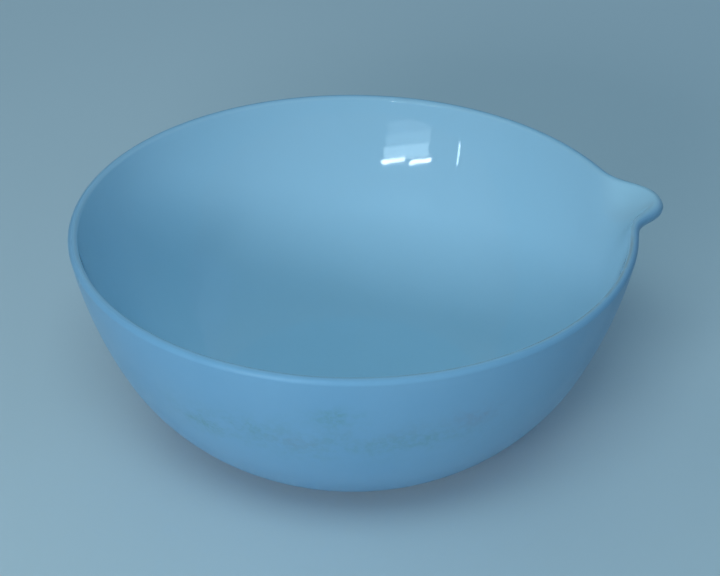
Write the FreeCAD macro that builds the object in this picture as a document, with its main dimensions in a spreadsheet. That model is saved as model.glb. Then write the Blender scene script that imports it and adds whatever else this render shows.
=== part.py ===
import FreeCAD, Part
import math
import os

# Evaporating dish: a fired porcelain bowl with a pinched pouring spout, and the clear glaze fused over it.
#
# Millimetres.  The origin is the centre of the flat resting face, +Z is up along the bowl's axis, and the
# spout points along +X.  The wall's lean is the angle between its outward normal and the horizontal: it is
# small at the rim and reaches a right angle at the resting face, where the wall lies flat.

# ------------------------------------------------------------------------------- driving dimensions
DIMENSIONS = [
    ("rim_diameter", 200.0, "outer diameter of the rim, without the spout"),
    ("bowl_height", 80.0, "from the resting face to the top of the rim"),
    ("rim_thickness", 3.4, "wall at the rim, with its glaze"),
    ("wall_taper", 0.05, "how much thicker the wall gets for each millimetre down from the rim"),
    ("floor_thickness", 5.5, "floor at the axis"),
    ("rim_lean", 9.6, "degrees of lean at the rim"),
    ("upper_arc_radius", 158.6, "outer wall, from the rim down"),
    ("upper_arc_lean", 25.0, "degrees of lean where the upper arc ends"),
    ("middle_arc_radius", 79.6, "outer wall, below the upper arc"),
    ("middle_arc_lean", 50.0, "degrees of lean where the middle arc ends"),
    ("inner_middle_radius", 86.0, "inner wall, below the upper arc"),
    ("floor_lean", 86.0, "degrees of lean where the inner corner meets the dished floor"),
    ("spout_reach", 11.3, "how far the spout pushes the rim out"),
    ("spout_half_angle", 7.05, "degrees to each side that hold most of the spout"),
    ("spout_squareness", 2.45, "how blunt the spout is in plan: 2 is a bell, more is squarer"),
    ("spout_depth", 5.0, "depth below the rim in which the push fades to about a third"),
    ("spout_swell", 2.0, "how much thicker the wall is at the spout's tip"),
    ("shoulder_reach", 0.95, "how far the rim bows out around the spout, on top of the spout's reach"),
    ("shoulder_half_angle", 20.0, "degrees to each side that hold most of the bow"),
    ("shoulder_depth", 12.0, "depth below the rim in which the bow fades to about a third"),
    ("glaze_thickness", 0.3, "clear coat over the fired body"),
    ("glaze_line", 1.2, "height above the resting face at which the outside glaze stops"),
]

# How finely the free-form skins are set out.
FAR_STEP = 10               # degrees between points round the plain part of the rim
NEAR_STEP = 2               # degrees between points round the spout
NEAR_SPAN = 28              # degrees to each side of the spout that take the near step
UPPER_RINGS = 12            # rings up the part of the wall that the spout bends
UPPER_CROWDING = 2          # how much closer together those rings are towards the rim
PLAIN_RINGS = 5             # rings along each of the other arcs
LIP_RINGS = 8               # rings over the rounded lip
PATCH_EDGES = (-180, -NEAR_SPAN, -8, 8, NEAR_SPAN, 180)   # degrees at which the skin is cut into faces
FLOOR_CENTRE = 2.0          # radius of the small flat that closes the dished floor at the axis
SLOPE_STEP = 1.0e-4         # radians either side of a point, to measure the wall's slope there
ZONE_MARGIN = 20.0          # how far the cutting zones stand clear of the dish


def make_sheet(doc):
    """The spreadsheet with one row for each driving dimension."""
    sheet = doc.addObject("Spreadsheet::Sheet", "dimensions")
    for row, (alias, value, meaning) in enumerate(DIMENSIONS, start=1):
        sheet.set("A%d" % row, alias)
        sheet.set("B%d" % row, str(value))
        sheet.set("C%d" % row, meaning)
        sheet.setAlias("B%d" % row, alias)
    doc.recompute()
    return sheet


# ------------------------------------------------------------------------------- section of the bowl
class Arc:
    """One arc of a wall, from its upper end, with the lean growing on the way down."""

    def __init__(self, top, radius, top_lean, foot_lean):
        self.top = top
        self.radius = radius
        self.top_lean = top_lean
        self.foot_lean = foot_lean

    def at(self, lean):
        """The (distance from the axis, height) of the point with this lean."""
        distance = self.top[0] - self.radius * (math.cos(self.top_lean) - math.cos(lean))
        height = self.top[1] - self.radius * (math.sin(lean) - math.sin(self.top_lean))
        return distance, height

    def foot(self):
        return self.at(self.foot_lean)

    def leans(self, count, crowding=1):
        """Leans from just below the upper end to the lower end; crowding over 1 packs them at the top."""
        span = self.foot_lean - self.top_lean
        return [self.top_lean + span * (i / count) ** crowding for i in range(1, count + 1)]


class Section:
    """The bowl's section: the middle of its upper wall, and the outer and inner arcs below that."""

    def __init__(self, sheet):
        self.sheet = sheet
        half = sheet.rim_thickness / 2
        rim_lean = math.radians(sheet.rim_lean)
        upper_lean = math.radians(sheet.upper_arc_lean)
        middle_lean = math.radians(sheet.middle_arc_lean)
        floor_lean = math.radians(sheet.floor_lean)
        flat = math.pi / 2

        rim = (sheet.rim_diameter / 2 - half, sheet.bowl_height - half)
        self.upper = Arc(rim, sheet.upper_arc_radius - half, rim_lean, upper_lean)
        self.taper_angle = math.atan(sheet.wall_taper)
        shoulder = self.upper.foot()
        outwards = (math.cos(upper_lean), -math.sin(upper_lean))

        outer_start = (shoulder[0] + half * outwards[0], shoulder[1] + half * outwards[1])
        outer_middle = Arc(outer_start, sheet.middle_arc_radius, upper_lean, middle_lean)
        corner_start = outer_middle.foot()
        corner_radius = corner_start[1] / (1 - math.sin(middle_lean))
        self.outer = [outer_middle, Arc(corner_start, corner_radius, middle_lean, flat)]

        inwards = half + self.thickening(upper_lean)
        inner_start = (shoulder[0] - inwards * outwards[0], shoulder[1] - inwards * outwards[1])
        inner_lean = upper_lean + self.taper_angle
        inner_middle = Arc(inner_start, sheet.inner_middle_radius, inner_lean, middle_lean)
        bend = inner_middle.foot()
        # The inner corner is as round as it can be while the dished floor still reaches its thickness.
        dish_slope = math.tan((flat - floor_lean) / 2)
        drop = bend[1] - sheet.floor_thickness - bend[0] * dish_slope
        turn = math.sin(floor_lean) - math.sin(middle_lean)
        run = math.cos(middle_lean) - math.cos(floor_lean)
        inner_corner = Arc(bend, drop / (turn - run * dish_slope), middle_lean, floor_lean)
        floor_start = inner_corner.foot()
        dish_radius = floor_start[0] / math.cos(floor_lean)
        floor_end = flat - math.asin(FLOOR_CENTRE / dish_radius)
        self.inner = [inner_middle, inner_corner, Arc(floor_start, dish_radius, floor_lean, floor_end)]

    def thickening(self, lean):
        """How much the upper wall has thickened, on its inside, from the rim down to this lean."""
        return self.sheet.wall_taper * self.upper.radius * (lean - self.upper.top_lean)


# ---------------------------------------------------------------------------- the wall and its spout
def swing(distance, height, angle):
    """A point of the section turned round the axis."""
    return FreeCAD.Vector(distance * math.cos(angle), distance * math.sin(angle), height)


def pinch(section, angle, height):
    """How much of the spout's reach there is at this place: 1 at the tip and 0 away from the spout."""
    sheet = section.sheet
    sideways = abs(angle) / math.radians(sheet.spout_half_angle)
    below_rim = (section.upper.top[1] - height) / sheet.spout_depth
    return math.exp(-sideways ** sheet.spout_squareness - below_rim)


def bow(section, angle, height):
    """How much of the shoulder's reach there is at this place: 1 at the spout and 0 away from it."""
    sheet = section.sheet
    sideways = angle / math.radians(sheet.shoulder_half_angle)
    below_rim = (section.upper.top[1] - height) / sheet.shoulder_depth
    return math.exp(-sideways ** 2 - below_rim)


def wall_middle(section, angle, lean):
    """A point midway through the upper wall, with the spout pushed out and its thicker lip kept level."""
    sheet = section.sheet
    distance, height = section.upper.at(lean)
    share = pinch(section, angle, height)
    distance += sheet.spout_reach * share + sheet.shoulder_reach * bow(section, angle, height)
    return swing(distance, height - sheet.spout_swell / 2 * share, angle)


def wall_frame(section, angle, lean):
    """The upper wall's middle point, outward normal, direction up to the lip and half its thickness."""
    ahead = wall_middle(section, angle + SLOPE_STEP, lean)
    behind = wall_middle(section, angle - SLOPE_STEP, lean)
    lower = wall_middle(section, angle, lean + SLOPE_STEP)
    higher = wall_middle(section, angle, lean - SLOPE_STEP)
    normal = (lower - higher).cross(ahead - behind).normalize()
    upwards = normal.cross(ahead - behind).normalize()
    sheet = section.sheet
    height = section.upper.at(lean)[1]
    thickness = sheet.rim_thickness + sheet.spout_swell * pinch(section, angle, height)
    return wall_middle(section, angle, lean), normal, upwards, thickness / 2


def outer_point(section, angle, lean, inset):
    """A point of the upper wall's outside, moved into the wall by the inset."""
    middle, normal, _, half = wall_frame(section, angle, lean)
    return middle + normal * (half - inset)


def inner_point(section, angle, lean, inset):
    """A point of the upper wall's inside, moved into the wall by the inset."""
    middle, normal, _, half = wall_frame(section, angle, lean)
    return middle - normal * (half + section.thickening(lean) - inset)


def lip_point(section, angle, turn, inset):
    """A point of the rounded lip: turn is 0 at the outer wall and grows over the top to the inner wall."""
    middle, normal, upwards, half = wall_frame(section, angle, section.upper.top_lean)
    return middle + (normal * math.cos(turn) + upwards * math.sin(turn)) * (half - inset)


def plain_point(arc, angle, lean, side, inset):
    """A point of the plain lower wall, moved into the wall by the inset."""
    distance, height = arc.at(lean)
    distance -= side * inset * math.cos(lean)
    height += side * inset * math.sin(lean)
    return swing(distance, height, angle)


def ring_angles():
    """Angles once round the axis from the back of the dish, closer together at the spout."""
    back = list(range(-180, -NEAR_SPAN, FAR_STEP))
    front = [-angle for angle in reversed(back) if angle > -180]
    near = list(range(-NEAR_SPAN, NEAR_SPAN + 1, NEAR_STEP))
    return [math.radians(angle) for angle in back + near + front]


def ring(point_at):
    """A closed smooth curve round the axis, through point_at(angle) at every ring angle."""
    angles = ring_angles()
    curve = Part.BSplineCurve()
    curve.interpolate(
        Points=[point_at(angle) for angle in angles],
        Parameters=angles + [angles[0] + 2 * math.pi],
        PeriodicFlag=True,
    )
    return curve


def skin_through(rings, breaks):
    """The smooth skin through a stack of rings that all share their angles, as faces.

    Each pole of the rings gets a curve of its own that joins it from ring to ring, and the poles of
    those curves are the poles of the skin.  The skin is then cut at PATCH_EDGES and at the rings whose
    numbers breaks lists.
    """
    climb = [0.0]
    for lower, upper in zip(rings, rings[1:]):
        climb.append(climb[-1] + (upper.StartPoint - lower.StartPoint).Length)
    columns = []
    for poles in zip(*[curve.getPoles() for curve in rings]):
        column = Part.BSplineCurve()
        column.interpolate(Points=list(poles), Parameters=climb)
        columns.append(column)
    skin = Part.BSplineSurface()
    skin.buildFromPolesMultsKnots(
        [column.getPoles() for column in columns],
        rings[0].getMultiplicities(),
        columns[0].getMultiplicities(),
        rings[0].getKnots(),
        columns[0].getKnots(),
        True,
        False,
        rings[0].Degree,
        columns[0].Degree,
    )
    skin.setUNotPeriodic()
    faces = []
    for first, last in zip(breaks, breaks[1:]):
        for start, end in zip(PATCH_EDGES, PATCH_EDGES[1:]):
            patch = skin.copy()
            patch.segment(math.radians(start), math.radians(end), climb[first], climb[last])
            faces.append(patch.toShape())
    return faces


def dish_form(section, inset):
    """The whole dish as one solid, with every skin moved into the wall by the inset.

    Its rings run from the resting face up the outside, over the lip and down the inside to the floor.
    """
    outside = []
    for arc in reversed(section.outer):
        for lean in reversed(arc.leans(PLAIN_RINGS)):
            outside.append(ring(lambda angle: plain_point(arc, angle, lean, 1, inset)))
    for lean in reversed(section.upper.leans(UPPER_RINGS, UPPER_CROWDING)):
        outside.append(ring(lambda angle: outer_point(section, angle, lean, inset)))
    lip = []
    for step in range(LIP_RINGS + 1):
        turn = (math.pi - section.taper_angle) * step / LIP_RINGS
        lip.append(ring(lambda angle: lip_point(section, angle, turn, inset)))
    inside = []
    for lean in section.upper.leans(UPPER_RINGS, UPPER_CROWDING):
        inside.append(ring(lambda angle: inner_point(section, angle, lean, inset)))
    for arc in section.inner:
        for lean in arc.leans(PLAIN_RINGS):
            inside.append(ring(lambda angle: plain_point(arc, angle, lean, -1, inset)))

    rings = outside + lip + inside
    breaks = [0, len(outside), len(outside) + LIP_RINGS, len(rings) - 1]
    ends = [Part.Face(Part.Wire(curve.toShape())) for curve in (rings[0], rings[-1])]
    shell = Part.Compound(skin_through(rings, breaks) + ends)
    shell.sewShape()
    return Part.Solid(shell)


# ------------------------------------------------------------------------------- the document
def add_form(doc, label, shape):
    """A free-form solid that the pieces are cut from."""
    form = doc.addObject("Part::Feature", label)
    form.Shape = shape
    form.Label = label
    return form


def add_zone(doc, label, foot, height):
    """A round block about the axis, from one height up, that picks a zone of the dish."""
    zone = doc.addObject("Part::Cylinder", label)
    zone.Label = label
    zone.setExpression("Radius", "dimensions.rim_diameter / 2 + %s" % ZONE_MARGIN)
    zone.setExpression("Height", height)
    zone.setExpression("Placement.Base.z", foot)
    return zone


def add_boolean(doc, kind, label, base, tool):
    """One boolean of two objects."""
    result = doc.addObject("Part::" + kind, label)
    result.Label = label
    result.Base = base
    result.Tool = tool
    return result


def make_dish(doc, sheet):
    """The two pieces: the fired body with its bare foot, and the glaze over all the rest."""
    section = Section(sheet)
    finished = add_form(doc, "finished_dish", dish_form(section, 0.0))
    fired = add_form(doc, "fired_dish", dish_form(section, sheet.glaze_thickness))
    foot_zone = add_zone(doc, "foot_zone", "0 mm", "dimensions.glaze_line")
    glazed_zone = add_zone(doc, "glazed_zone", "dimensions.glaze_line", "dimensions.bowl_height")
    coat_all_over = add_boolean(doc, "Cut", "coat_all_over", finished, fired)
    bare_foot = add_boolean(doc, "Common", "bare_foot", finished, foot_zone)
    glaze = add_boolean(doc, "Common", "glaze_coat", coat_all_over, glazed_zone)
    body = add_boolean(doc, "Fuse", "porcelain_body", fired, bare_foot)
    return [body, glaze]


def check(doc, pieces):
    """Stop before anything is written if an object failed or a piece isn't one sound solid."""
    for thing in doc.Objects:
        faults = {"Invalid", "Error"}.intersection(thing.State)
        if faults:
            raise RuntimeError("%s is %s" % (thing.Label, ", ".join(sorted(faults))))
    for piece in pieces:
        shape = piece.Shape
        if shape.isNull() or not shape.isValid() or len(shape.Solids) != 1:
            raise RuntimeError("%s is not one valid solid" % piece.Label)


def main():
    doc = FreeCAD.newDocument("evaporating_dish")
    sheet = make_sheet(doc)
    pieces = make_dish(doc, sheet)
    doc.recompute()
    check(doc, pieces)
    os.makedirs("parts", exist_ok=True)
    for piece in pieces:
        piece.Shape.exportStep("parts/%s.step" % piece.Label)
        box = piece.Shape.BoundBox
        print("%s: %.0f mm3, x %.2f to %.2f, y %.2f to %.2f, z %.2f to %.2f" % (
            piece.Label, piece.Shape.Volume, box.XMin, box.XMax, box.YMin, box.YMax, box.ZMin, box.ZMax))


main()
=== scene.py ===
import math

import bpy
from mathutils import Matrix, Vector


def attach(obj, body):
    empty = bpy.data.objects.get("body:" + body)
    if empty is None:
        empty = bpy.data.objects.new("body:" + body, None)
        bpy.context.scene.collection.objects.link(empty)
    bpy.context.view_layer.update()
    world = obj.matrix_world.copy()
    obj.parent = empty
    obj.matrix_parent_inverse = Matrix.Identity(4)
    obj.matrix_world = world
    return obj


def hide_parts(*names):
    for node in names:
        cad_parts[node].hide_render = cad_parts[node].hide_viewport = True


# Evaporating dish.  Metres, in the CAD model's frame: the origin is the centre of the resting face, +Z is up
# and the spout points along +X.  The lean of the wall is the angle between its outward normal and the
# horizontal.

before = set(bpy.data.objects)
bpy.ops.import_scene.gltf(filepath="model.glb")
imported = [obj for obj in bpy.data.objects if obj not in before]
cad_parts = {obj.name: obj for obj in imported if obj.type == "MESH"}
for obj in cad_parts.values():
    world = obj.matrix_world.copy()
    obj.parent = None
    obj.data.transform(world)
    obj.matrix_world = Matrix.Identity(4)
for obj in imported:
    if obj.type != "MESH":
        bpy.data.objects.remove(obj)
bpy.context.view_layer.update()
MM = 0.001

# ------------------------------------------------------------------------ the dish's sizes, as in the CAD
RIM_RADIUS = 100 * MM
HEIGHT = 80 * MM
RIM_THICKNESS = 3.4 * MM
WALL_TAPER = 0.05
FLOOR_THICKNESS = 5.5 * MM
RIM_LEAN = math.radians(9.6)
UPPER_RADIUS, UPPER_LEAN = 158.6 * MM, math.radians(25)
MIDDLE_RADIUS, MIDDLE_LEAN = 79.6 * MM, math.radians(50)
INNER_MIDDLE_RADIUS = 86 * MM
FLOOR_DISH = 2 * MM
FLAT = math.radians(90)
SPOUT_REACH = 11.3 * MM
SPOUT_HALF_ANGLE = math.radians(7.05)
SPOUT_SQUARENESS = 2.45
SPOUT_DEPTH = 5 * MM
SPOUT_SWELL = 2 * MM
SHOULDER_REACH = 0.95 * MM
SHOULDER_HALF_ANGLE = math.radians(20)
SHOULDER_DEPTH = 12 * MM
GLAZE = 0.3 * MM
GLAZE_LINE = 1.2 * MM
SLOPE_STEP = 1.0e-4

# How many rings each part of the skin has.
FOOT_RINGS = 6
CORNER_RINGS = 12
MIDDLE_RINGS = 12
UPPER_RINGS = 36
UPPER_CROWDING = 2
LIP_RINGS = 16
FLOOR_RINGS = 26


class Arc:
    """A circular arc of the section, from its upper end down to a larger lean."""

    def __init__(self, top, radius, top_lean, foot_lean):
        self.top = top
        self.radius = radius
        self.top_lean = top_lean
        self.foot_lean = foot_lean

    def at(self, lean):
        distance = self.top[0] - self.radius * (math.cos(self.top_lean) - math.cos(lean))
        height = self.top[1] - self.radius * (math.sin(lean) - math.sin(self.top_lean))
        return distance, height

    def leans(self, count, crowding=1):
        """Leans from just below the upper end to the lower end."""
        span = self.foot_lean - self.top_lean
        return [self.top_lean + span * (i / count) ** crowding for i in range(1, count + 1)]


def shifted(point, lean, offset):
    """A point of the section moved outwards along the wall's normal."""
    return point[0] + offset * math.cos(lean), point[1] - offset * math.sin(lean)


HALF = RIM_THICKNESS / 2
TAPER_ANGLE = math.atan(WALL_TAPER)
UPPER = Arc((RIM_RADIUS - HALF, HEIGHT - HALF), UPPER_RADIUS - HALF, RIM_LEAN, UPPER_LEAN)
SHOULDER = UPPER.at(UPPER_LEAN)


def thickening(lean):
    """How much the upper wall has thickened on its inside, from the rim down to this lean."""
    return WALL_TAPER * UPPER.radius * (lean - RIM_LEAN)


OUTER_MIDDLE = Arc(shifted(SHOULDER, UPPER_LEAN, HALF), MIDDLE_RADIUS, UPPER_LEAN, MIDDLE_LEAN)
OUTER_BEND = OUTER_MIDDLE.at(MIDDLE_LEAN)
OUTER_CORNER = Arc(OUTER_BEND, OUTER_BEND[1] / (1 - math.sin(MIDDLE_LEAN)), MIDDLE_LEAN, FLAT)

INNER_MIDDLE = Arc(
    shifted(SHOULDER, UPPER_LEAN, -HALF - thickening(UPPER_LEAN)),
    INNER_MIDDLE_RADIUS, UPPER_LEAN + TAPER_ANGLE, MIDDLE_LEAN)
INNER_BEND = INNER_MIDDLE.at(MIDDLE_LEAN)

# Inside, the floor runs into the wall with a steady turn: a shallow dish plus a rise that only counts near
# the wall, as steep as the wall where they meet.
BEND_RADIUS = INNER_BEND[0]
CORNER_RISE = INNER_BEND[1] - FLOOR_THICKNESS - FLOOR_DISH
CORNER_POWER = (BEND_RADIUS / math.tan(MIDDLE_LEAN) - 2 * FLOOR_DISH) / CORNER_RISE


def floor_section(share, inset):
    """The inner floor's point at this share of the way out to the wall, moved inset below the surface."""
    height = FLOOR_THICKNESS + FLOOR_DISH * share ** 2 + CORNER_RISE * share ** CORNER_POWER
    slope = 2 * FLOOR_DISH * share + CORNER_POWER * CORNER_RISE * share ** (CORNER_POWER - 1)
    lean = FLAT - math.atan(slope / BEND_RADIUS)
    return shifted((share * BEND_RADIUS, height), lean, inset)


# ------------------------------------------------------------------------------- points of the dish's skin
def swing(distance, height, angle):
    return Vector((distance * math.cos(angle), distance * math.sin(angle), height))


def pinch(angle, height):
    """How much of the spout's reach there is here: 1 at the tip and 0 away from the spout."""
    sideways = abs(math.remainder(angle, 2 * math.pi)) / SPOUT_HALF_ANGLE
    return math.exp(-sideways ** SPOUT_SQUARENESS - (UPPER.top[1] - height) / SPOUT_DEPTH)


def bow(angle, height):
    """How much of the shoulder's reach there is here: 1 at the spout and 0 away from it."""
    sideways = math.remainder(angle, 2 * math.pi) / SHOULDER_HALF_ANGLE
    return math.exp(-sideways ** 2 - (UPPER.top[1] - height) / SHOULDER_DEPTH)


def wall_middle(angle, lean):
    distance, height = UPPER.at(lean)
    share = pinch(angle, height)
    distance += SPOUT_REACH * share + SHOULDER_REACH * bow(angle, height)
    return swing(distance, height - SPOUT_SWELL / 2 * share, angle)


def wall_frame(angle, lean):
    """The upper wall's middle point, outward normal, direction up to the lip and half its thickness."""
    around = wall_middle(angle + SLOPE_STEP, lean) - wall_middle(angle - SLOPE_STEP, lean)
    down = wall_middle(angle, lean + SLOPE_STEP) - wall_middle(angle, lean - SLOPE_STEP)
    normal = down.cross(around).normalized()
    upwards = normal.cross(around).normalized()
    half = HALF + SPOUT_SWELL / 2 * pinch(angle, UPPER.at(lean)[1])
    return wall_middle(angle, lean), normal, upwards, half


def outer_point(angle, lean, inset):
    middle, normal, _, half = wall_frame(angle, lean)
    return middle + normal * (half - inset)


def inner_point(angle, lean, inset):
    middle, normal, _, half = wall_frame(angle, lean)
    return middle - normal * (half + thickening(lean) - inset)


def lip_point(angle, turn, inset):
    middle, normal, upwards, half = wall_frame(angle, RIM_LEAN)
    return middle + (normal * math.cos(turn) + upwards * math.sin(turn)) * (half - inset)


def plain_point(arc, angle, lean, side, inset):
    distance, height = shifted(arc.at(lean), lean, -side * inset)
    return swing(distance, height, angle)


# The angles round the axis are close together at the spout.
NEAR_SPAN, NEAR_STEP, FAR_STEP = 28, 0.5, 2
NEAR_COUNT = round(2 * NEAR_SPAN / NEAR_STEP)
FAR_COUNT = round((360 - 2 * NEAR_SPAN) / FAR_STEP)
ANGLES = [math.radians(-NEAR_SPAN + NEAR_STEP * i) for i in range(NEAR_COUNT)]
ANGLES += [math.radians(NEAR_SPAN + FAR_STEP * i) for i in range(FAR_COUNT)]


def outside_rings(inset, lowest):
    """Rings up the outside from the given lean of the corner to just below the lip."""
    rings = []
    span = lowest - MIDDLE_LEAN
    for i in range(CORNER_RINGS):
        lean = lowest - span * i / CORNER_RINGS
        rings.append([plain_point(OUTER_CORNER, a, lean, 1, inset) for a in ANGLES])
    for lean in reversed(OUTER_MIDDLE.leans(MIDDLE_RINGS)):
        rings.append([plain_point(OUTER_MIDDLE, a, lean, 1, inset) for a in ANGLES])
    for lean in reversed(UPPER.leans(UPPER_RINGS, UPPER_CROWDING)):
        rings.append([outer_point(a, lean, inset) for a in ANGLES])
    return rings


def lip_rings(inset):
    turns = [(math.pi - TAPER_ANGLE) * i / LIP_RINGS for i in range(LIP_RINGS + 1)]
    return [[lip_point(a, turn, inset) for a in ANGLES] for turn in turns]


def inside_rings(inset):
    """Rings down the inside from just below the lip to near the middle of the floor."""
    rings = []
    for lean in UPPER.leans(UPPER_RINGS, UPPER_CROWDING):
        rings.append([inner_point(a, lean, inset) for a in ANGLES])
    for lean in INNER_MIDDLE.leans(MIDDLE_RINGS):
        rings.append([plain_point(INNER_MIDDLE, a, lean, -1, inset) for a in ANGLES])
    for i in range(1, FLOOR_RINGS):
        distance, height = floor_section(1 - i / FLOOR_RINGS, inset)
        rings.append([swing(distance, height, a) for a in ANGLES])
    return rings


def sew(name, rings, caps):
    """A mesh through rings of equal length; caps are (ring number, centre height, faces the other way)."""
    count = len(ANGLES)
    verts = [p for ring in rings for p in ring]
    faces = []
    for r in range(len(rings) - 1):
        for i in range(count):
            j = (i + 1) % count
            faces.append((r * count + i, r * count + j, (r + 1) * count + j, (r + 1) * count + i))
    for r, height, flipped in caps:
        centre = len(verts)
        verts.append(Vector((0, 0, height)))
        for i in range(count):
            j = (i + 1) % count
            corners = (r * count + i, r * count + j, centre)
            faces.append(corners[::-1] if flipped else corners)
    mesh = bpy.data.meshes.new(name)
    mesh.from_pydata(verts, [], faces)
    mesh.validate()
    for polygon in mesh.polygons:
        polygon.use_smooth = True
    obj = bpy.data.objects.new(name, mesh)
    bpy.context.scene.collection.objects.link(obj)
    return obj


# The outside glaze stops where the corner is GLAZE_LINE above the resting face.
LINE_LEAN = math.asin(1 - GLAZE_LINE / OUTER_CORNER.radius)
# The fired body lies a little under the glaze's underside, and starts just above the glaze line.
BODY_INSET = 1.2 * GLAZE
BODY_LAP = math.radians(1)


def smooth(value, low, high):
    """0 up to low, 1 from high on, and a smooth rise between."""
    share = min(max((value - low) / (high - low), 0), 1)
    return share * share * (3 - 2 * share)


# The darker rim line (painted shade and a stain) lies this far over the lip, as a share of the way from
# outside to inside.
LINE_PLACE, LINE_WIDTH = 0.72, 0.14
# The outside's tint starts to turn into the inside's at this share.
INSIDE_START = 0.3

# Faint marks on the outside: (degrees round the axis, height in mm, reach in degrees, reach in mm, strength).
OLIVE_MARKS = ((-131, 48, 5, 4, 0.9), (-120, 54, 3, 3, 0.7), (-102, 64, 4, 4, 1.0), (-106, 50, 30, 9, 0.6),
               (-84, 50, 8, 4, 0.4))
BLUSH_MARKS = ((-74, 57, 5, 5, 0.9), (-110, 50, 5, 4, 0.6), (-92, 55, 9, 4, 0.3))


def marks(point, spots):
    angle = math.degrees(math.atan2(point.y, point.x))
    height = point.z / MM
    total = 0
    for at_angle, at_height, wide, tall, strength in spots:
        total += strength * math.exp(-((angle - at_angle) / wide) ** 2 - ((height - at_height) / tall) ** 2)
    return total


def rim_shade_and_stain(point):
    """Where the rim is painted darker, shade on its top with a brownish stain: from the front round to the
    spout.
    """
    angle = math.degrees(math.atan2(point.y, point.x))
    main = smooth(angle, -126, -40) * (1 - smooth(angle, -16, -8))
    faint_start = 0.3 * smooth(angle, -126, -116) * (1 - smooth(angle, -60, -40))
    return main + faint_start


def make_glaze():
    """The glaze: its own surface from the glaze line over the lip to the floor, and its underside.

    Four values at each vertex tell the finish where it is: inside, on the darker rim line (painted shade and
    a stain), and on the olive and blush marks.
    """
    outside, lip, inside = outside_rings(0, LINE_LEAN), lip_rings(0), inside_rings(0)
    under = outside_rings(GLAZE, LINE_LEAN) + lip_rings(GLAZE) + inside_rings(GLAZE)
    rings = list(reversed(under)) + outside + lip + inside
    caps = [(0, FLOOR_THICKNESS - GLAZE, True), (len(rings) - 1, FLOOR_THICKNESS, False)]
    skin = sew("glaze_skin", rings, caps)

    over_lip = [i / (len(lip) - 1) for i in range(len(lip))]
    sides = [0.0] * len(outside)
    sides += [smooth(share, INSIDE_START, 1.0) for share in over_lip]
    sides += [1.0] * len(inside)
    crests = [0.0] * len(outside)
    crests += [math.exp(-((share - LINE_PLACE) / LINE_WIDTH) ** 2) for share in over_lip]
    crests += [0.0] * len(inside)
    values = {"inside": [], "rim_shade_and_stain": [], "olive": [], "blush": []}
    for ring, side, crest in zip(rings, sides[::-1] + sides, crests[::-1] + crests):
        for point in ring:
            values["inside"].append(side)
            values["rim_shade_and_stain"].append(crest * rim_shade_and_stain(point))
            values["olive"].append((1 - side) * marks(point, OLIVE_MARKS))
            values["blush"].append((1 - side) * marks(point, BLUSH_MARKS))
    for name, numbers in values.items():
        numbers += [1.0 if name == "inside" else 0.0] * len(caps)
        skin.data.attributes.new(name, "FLOAT", "POINT").data.foreach_set("value", numbers)
    return skin


def make_body():
    """The fired body: covered by the glaze down to the glaze line, and bare below it."""
    foot = []
    for i in range(FOOT_RINGS):
        lean = FLAT - (FLAT - LINE_LEAN) * i / FOOT_RINGS
        foot.append([plain_point(OUTER_CORNER, a, lean, 1, 0) for a in ANGLES])
    covered = outside_rings(BODY_INSET, LINE_LEAN - BODY_LAP) + lip_rings(BODY_INSET)
    covered += inside_rings(BODY_INSET)
    rings = foot + covered
    caps = [(0, 0.0, True), (len(rings) - 1, FLOOR_THICKNESS - BODY_INSET, False)]
    return sew("fired_body", rings, caps)


glaze = make_glaze()
body = make_body()


# ------------------------------------------------------------------------------------------- materials
def new_material(name):
    material = bpy.data.materials.new(name)
    material.use_nodes = True
    tree = material.node_tree
    shader = tree.nodes["Principled BSDF"]
    place = tree.nodes.new("ShaderNodeTexCoord")
    return material, tree, shader, place.outputs["Object"]


def noise(tree, place, scale, detail=2.0, roughness=0.5):
    node = tree.nodes.new("ShaderNodeTexNoise")
    node.inputs["Scale"].default_value = scale
    node.inputs["Detail"].default_value = detail
    node.inputs["Roughness"].default_value = roughness
    tree.links.new(place, node.inputs["Vector"])
    return node.outputs["Fac"]


def remap(tree, value, low, high, to_low, to_high):
    node = tree.nodes.new("ShaderNodeMapRange")
    node.interpolation_type = "SMOOTHSTEP"
    for name, number in (("From Min", low), ("From Max", high), ("To Min", to_low), ("To Max", to_high)):
        node.inputs[name].default_value = number
    tree.links.new(value, node.inputs["Value"])
    return node.outputs["Result"]


def mix(tree, factor, first, second):
    """Blends two colours, each an RGBA tuple or a socket."""
    node = tree.nodes.new("ShaderNodeMix")
    node.data_type = "RGBA"
    tree.links.new(factor, node.inputs["Factor"])
    for socket, colour in ((node.inputs[6], first), (node.inputs[7], second)):
        if isinstance(colour, tuple):
            socket.default_value = colour
        else:
            tree.links.new(colour, socket)
    return node.outputs[2]


def bump(tree, heights, shader):
    """Chains bumps; heights are (value, distance in metres)."""
    normal = None
    for value, distance in heights:
        node = tree.nodes.new("ShaderNodeBump")
        node.inputs["Distance"].default_value = distance
        tree.links.new(value, node.inputs["Height"])
        if normal is not None:
            tree.links.new(normal, node.inputs["Normal"])
        normal = node.outputs["Normal"]
    tree.links.new(normal, shader.inputs["Normal"])


def vertex_value(tree, name):
    node = tree.nodes.new("ShaderNodeAttribute")
    node.attribute_name = name
    return node.outputs["Fac"]


def times(tree, first, second):
    node = tree.nodes.new("ShaderNodeMath")
    node.operation = "MULTIPLY"
    tree.links.new(first, node.inputs[0])
    tree.links.new(second, node.inputs[1])
    return node.outputs["Value"]


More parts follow.
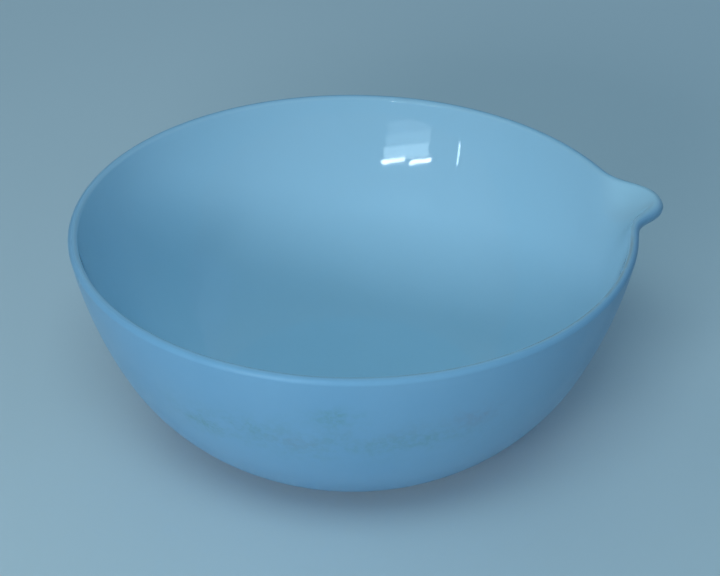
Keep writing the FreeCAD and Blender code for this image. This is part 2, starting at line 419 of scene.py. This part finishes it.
def glaze_material():
    material, tree, shader, place = new_material("glaze_finish")
    inside = vertex_value(tree, "inside")
    clouds = remap(tree, noise(tree, place, 16, 3), 0.35, 0.65, 0, 1)
    # Both tints are far bluer and deeper than white porcelain: painted light that holds part of the
    # surroundings' blue cast, and in the outer one also painted shade of the outside.
    outer_tint_with_painted_shade = mix(tree, clouds, (0.215, 0.43, 0.64, 1), (0.235, 0.45, 0.655, 1))
    inner_tint = mix(tree, clouds, (0.435, 0.665, 0.815, 1), (0.455, 0.68, 0.83, 1))
    tint = mix(tree, inside, outer_tint_with_painted_shade, inner_tint)

    # Old marks in the glaze, broken up into blotches and specks.
    blotches = remap(tree, noise(tree, place, 100, 4, 0.7), 0.34, 0.64, 0.1, 1)
    specks = remap(tree, noise(tree, place, 420, 3, 0.6), 0.35, 0.62, 0.35, 1)
    broken = times(tree, blotches, specks)
    tint = mix(tree, times(tree, vertex_value(tree, "olive"), broken), tint, (0.17, 0.36, 0.45, 1))
    tint = mix(tree, times(tree, vertex_value(tree, "blush"), broken), tint, (0.24, 0.37, 0.54, 1))
    # The darker rim line: painted shade on the rim top together with a brownish stain, broken into patches.
    rim_patches = remap(tree, noise(tree, place, 130, 4, 0.7), 0.36, 0.56, 0.2, 0.65)
    tint = mix(tree, times(tree, vertex_value(tree, "rim_shade_and_stain"), rim_patches), tint, (0.30, 0.36, 0.38, 1))
    tree.links.new(tint, shader.inputs["Base Color"])

    # Glossy inside, and worn to a satin outside.
    wear = remap(tree, noise(tree, place, 40, 3), 0.3, 0.7, 0, 1)
    gloss = remap(tree, wear, 0, 1, 0.03, 0.05)
    satin = remap(tree, wear, 0, 1, 0.29, 0.36)
    roughness = tree.nodes.new("ShaderNodeMix")
    tree.links.new(inside, roughness.inputs["Factor"])
    tree.links.new(satin, roughness.inputs[2])
    tree.links.new(gloss, roughness.inputs[3])
    tree.links.new(roughness.outputs[0], shader.inputs["Roughness"])
    shader.inputs["IOR"].default_value = 1.5
    ripple = noise(tree, place, 32, 0)
    peel = noise(tree, place, 260, 1)
    bump(tree, [(ripple, 0.035 * MM), (peel, 0.004 * MM)], shader)
    return material


def biscuit_material():
    material, tree, shader, place = new_material("biscuit_finish")
    tint = mix(tree, remap(tree, noise(tree, place, 400, 4), 0.4, 0.62, 0, 1),
               (0.60, 0.66, 0.68, 1), (0.66, 0.70, 0.70, 1))
    tree.links.new(tint, shader.inputs["Base Color"])
    shader.inputs["Roughness"].default_value = 0.8
    bump(tree, [(noise(tree, place, 2500, 3), 0.03 * MM)], shader)
    return material


for piece, node, slot, material in (
        (glaze, "glaze_coat", "glaze", glaze_material()),
        (body, "porcelain_body", "porcelain", biscuit_material())):
    piece.data.materials.append(material)
    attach(piece, "root")
    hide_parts(node)

# ----------------------------------------------------------------------------------------------- camera
RIM_CENTRE = Vector((0, 0, HEIGHT))
CAMERA_AZIMUTH = math.radians(-8.9)
CAMERA_ELEVATION = math.radians(30.05)
CAMERA_DISTANCE = 0.637
CAMERA_ROLL = math.radians(0.36)
AIM_RIGHT, AIM_DOWN = 2.61 * MM, 24.6 * MM

screen_right = Vector((math.cos(CAMERA_AZIMUTH), math.sin(CAMERA_AZIMUTH), 0))
away = Vector((-math.sin(CAMERA_AZIMUTH), math.cos(CAMERA_AZIMUTH), 0))
back = Vector((0, 0, math.sin(CAMERA_ELEVATION))) - away * math.cos(CAMERA_ELEVATION)
location = RIM_CENTRE + back * CAMERA_DISTANCE
aim = RIM_CENTRE + screen_right * AIM_RIGHT - back.cross(screen_right) * AIM_DOWN

camera_data = bpy.data.cameras.new("camera")
camera_data.lens = 90
camera_data.sensor_width = 36
camera_data.clip_start = 0.01
camera = bpy.data.objects.new("camera", camera_data)
bpy.context.scene.collection.objects.link(camera)
look = (aim - location).to_track_quat("-Z", "Y").to_matrix()
camera.matrix_world = Matrix.Translation(location) @ (look @ Matrix.Rotation(CAMERA_ROLL, 3, "Z")).to_4x4()
bpy.context.scene.camera = camera

# ------------------------------------------------------------------------------------- floor and lights
FLOOR_SIZE = 12
bpy.ops.mesh.primitive_plane_add(size=FLOOR_SIZE)
floor = bpy.context.object
floor.name = "floor"
floor_material, _, floor_shader, _ = new_material("floor_finish")
floor_shader.inputs["Base Color"].default_value = (0.65, 0.71, 0.75, 1)
floor_shader.inputs["Roughness"].default_value = 0.9
floor.data.materials.append(floor_material)


def heading(azimuth, elevation):
    """A direction from the dish; azimuth 0 is towards the camera and negative is to the camera's left."""
    a, e = math.radians(azimuth), math.radians(elevation)
    return (screen_right * math.sin(a) - away * math.cos(a)) * math.cos(e) + Vector((0, 0, math.sin(e)))


def soft_light(name, place, facing, width, height, radiance, turn=0.0):
    """A rectangular light of even brightness at place; facing is the direction from the dish to it."""
    strongest = max(radiance)
    data = bpy.data.lights.new(name, "AREA")
    data.shape = "RECTANGLE"
    data.size, data.size_y = width, height
    data.color = [value / strongest for value in radiance]
    data.energy = strongest * math.pi * width * height
    light = bpy.data.objects.new(name, data)
    rotation = facing.to_track_quat("Z", "Y").to_matrix() @ Matrix.Rotation(math.radians(turn), 3, "Z")
    light.matrix_world = Matrix.Translation(place) @ rotation.to_4x4()
    light.visible_camera = False
    bpy.context.scene.collection.objects.link(light)
    return light


UP = Vector((0, 0, 1))

# The broad light: a soft one overhead, a long window low to the camera's left, and three weak fills.
for name, azimuth, elevation, distance, width, height, radiance, mirrored in (
        ("overhead", -10, 58, 1.0, 0.5, 0.4, (2.4, 3.6, 3.9), False),
        ("window", -21, 17.5, 1.0, 0.5, 0.20, (10.0, 12.2, 13.4), False),
        ("left_fill", -115, 25, 1.4, 1.4, 0.8, (0.3, 0.3, 0.3), False),
        ("right_fill", 115, 25, 1.4, 1.4, 0.8, (0.05, 0.12, 0.3), True),
        ("back_fill", 180, 16, 1.4, 0.9, 0.5, (1.2, 1.6, 1.8), False)):
    facing = heading(azimuth, elevation)
    light = soft_light(name, RIM_CENTRE + facing * distance, facing, width, height, radiance)
    light.visible_glossy = mirrored

# Cards that only show in the glaze: a pane in three bands, two lamps at its top and a strip beside it.
# Across and height are millimetres in their plane.
CARD_FACING = heading(-30, 0)
CARD_DISTANCE = 0.38
CARD_ACROSS = UP.cross(CARD_FACING)
for name, across, height, width, tall, radiance, turn in (
        ("pane_card_top", 25, 151, 152, 24, (3.4, 4.8, 5.6), 12),
        ("pane_card_middle", 22, 127, 148, 24, (1.3, 1.9, 2.3), 12),
        ("pane_card_low", 19, 103, 144, 24, (0.7, 1.0, 1.3), 12),
        ("lamp_card_a", 65, 174, 82, 8, (24, 27, 30), 14),
        ("lamp_card_b", -27, 160, 74, 8, (24, 27, 30), 14),
        ("strip_card", -154, 115, 6, 56, (12, 16, 20), 6)):
    place = CARD_FACING * CARD_DISTANCE + CARD_ACROSS * (across * MM) + UP * (height * MM)
    card = soft_light(name, place, CARD_FACING, width * MM, tall * MM, radiance, turn)
    card.visible_diffuse = False

# A dim ceiling that fills the shadows and shows in the glaze.
CEILING_HEIGHT, CEILING_SIZE = 1.6, 6
soft_light("ceiling", UP * CEILING_HEIGHT, UP, CEILING_SIZE, CEILING_SIZE, (0.11, 0.215, 0.28))

world = bpy.data.worlds.new("world")
world.use_nodes = True
world.node_tree.nodes["Background"].inputs["Color"].default_value = (0.8, 0.93, 1.0, 1)
world.node_tree.nodes["Background"].inputs["Strength"].default_value = 0.25
world.cycles_visibility.diffuse = False
bpy.context.scene.world = world
bpy.context.scene.view_settings.view_transform = "Standard"

bpy.context.view_layer.update()
